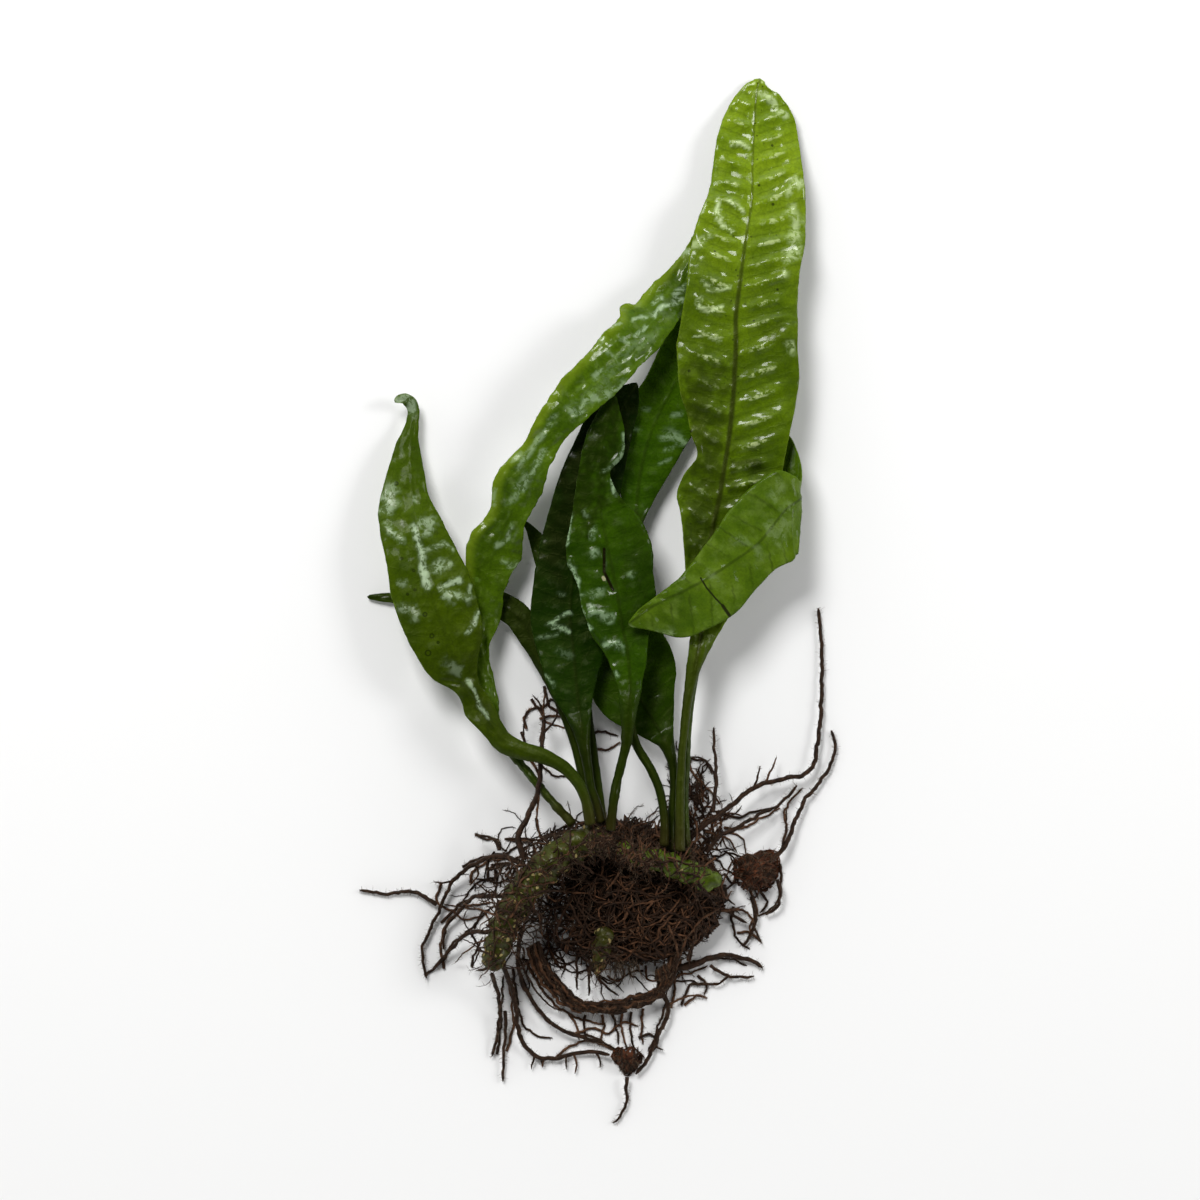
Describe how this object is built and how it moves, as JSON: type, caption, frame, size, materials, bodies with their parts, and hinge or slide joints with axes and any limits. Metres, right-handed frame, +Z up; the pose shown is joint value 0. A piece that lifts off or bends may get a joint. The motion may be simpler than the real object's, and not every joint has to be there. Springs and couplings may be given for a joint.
{
  "type": "java fern",
  "caption": "Bare-rooted java fern lying flat: broad and narrow strap fronds on a creeping rhizome over a felted mat of wiry brown roots.",
  "frame": {"origin": "centre of the plant's footprint, on the surface that it lies on", "axes": "+Y from the roots to the tip of the tallest frond, +Z up from the surface, +X to the right of both"},
  "size_m": [0.1101, 0.24, 0.018],
  "materials": {
    "frond_light": "wet, glossy yellow-green blade with raised quilting, a dark midrib and small dark dots",
    "frond_underside": "satin olive-green underside with a raised dark midrib and pale side veins",
    "frond_mid": "wet, glossy mid green blade with small dark ring spots",
    "frond_dark": "wet, glossy dark green blade",
    "rhizome_skin": "satin green-brown knobbly skin with beige scales and old leaf scars",
    "root_fibre": "damp dark red-brown wiry fibre with fine root hairs",
    "root_hair": "matted brown root hair, paler at its ends"
  },
  "bodies": {
    "root": {"tall_frond": "frond_light", "folded_frond": "frond_underside", "curled_tip_frond": "frond_mid", "long_wavy_frond": "frond_mid", "front_frond": "frond_dark", "dark_frond": "frond_dark", "back_frond": "frond_dark", "broad_short_frond": "frond_dark", "narrow_frond": "frond_dark", "small_pointed_frond": "frond_dark", "rhizome": "rhizome_skin", "rhizome_branch": "rhizome_skin", "rhizome_bud": "rhizome_skin", "root_mat": "root_fibre", "root_tuft": "root_hair", "root_knot": "root_hair", "root_left_main": "root_fibre", "root_left_reaching": "root_fibre", "root_left_lower": "root_fibre", "root_left_middle": "root_fibre", "root_left_hook": "root_fibre", "root_rising": "root_fibre", "root_right_longest": "root_fibre", "root_right_outer": "root_fibre", "root_right_inner": "root_fibre", "root_right_upright": "root_fibre", "root_right_loop": "root_fibre", "root_right_down": "root_fibre", "root_right_arch": "root_fibre", "root_lower_right": "root_fibre", "root_lower_right_fork": "root_fibre", "root_lower_bundle": "root_fibre", "root_lower_left": "root_fibre", "root_lower_outer": "root_fibre", "root_lower_straight": "root_fibre", "root_lower_inner": "root_fibre", "root_lower_right_side": "root_fibre", "root_lowest": "root_fibre"}
  },
  "joints": []
}
